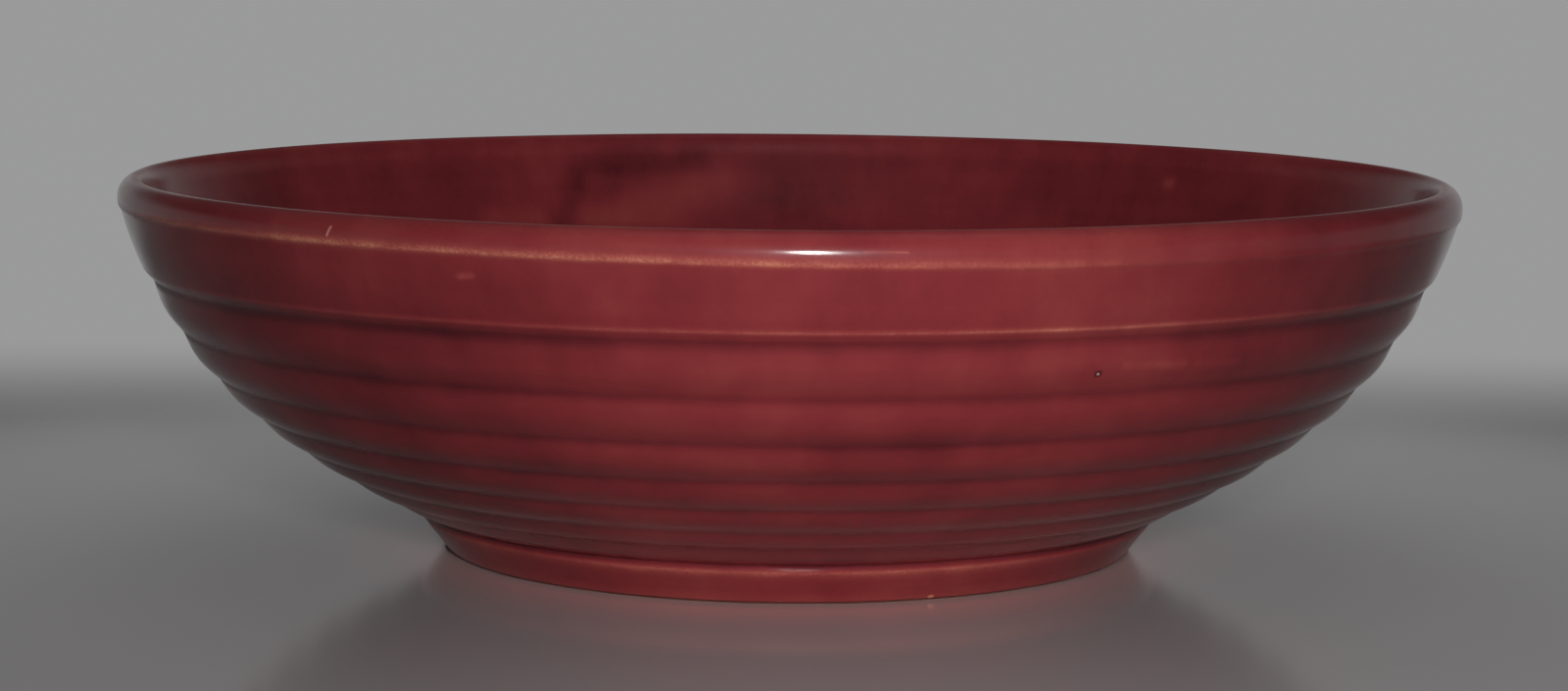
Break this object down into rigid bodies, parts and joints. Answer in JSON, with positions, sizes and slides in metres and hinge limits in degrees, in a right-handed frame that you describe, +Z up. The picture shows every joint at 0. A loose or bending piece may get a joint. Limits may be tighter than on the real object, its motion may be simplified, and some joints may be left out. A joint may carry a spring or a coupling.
{
  "type": "salad bowl",
  "caption": "Low, wide earthenware salad bowl with a rolled lip, a plain band over turned rings, and a foot ring, in burgundy glaze.",
  "frame": {"origin": "centre of the foot, on the surface that the bowl stands on", "axes": "+Z up along the bowl's axis, out of its open mouth; +Y away from the viewer in the picture, +X to the viewer's right"},
  "size_m": [0.3048, 0.3048, 0.0857],
  "materials": {
    "clay": "bare fired buff clay, matte, seen only on the ring that the foot rests on",
    "glaze": "glossy burgundy glaze, tan where it runs thin over the ridge, the step and the foot's edge, darker in the grooves"
  },
  "bodies": {
    "root": {"clay_body": "clay", "glaze_coat": "glaze", "recess_glaze": "glaze"}
  },
  "joints": []
}
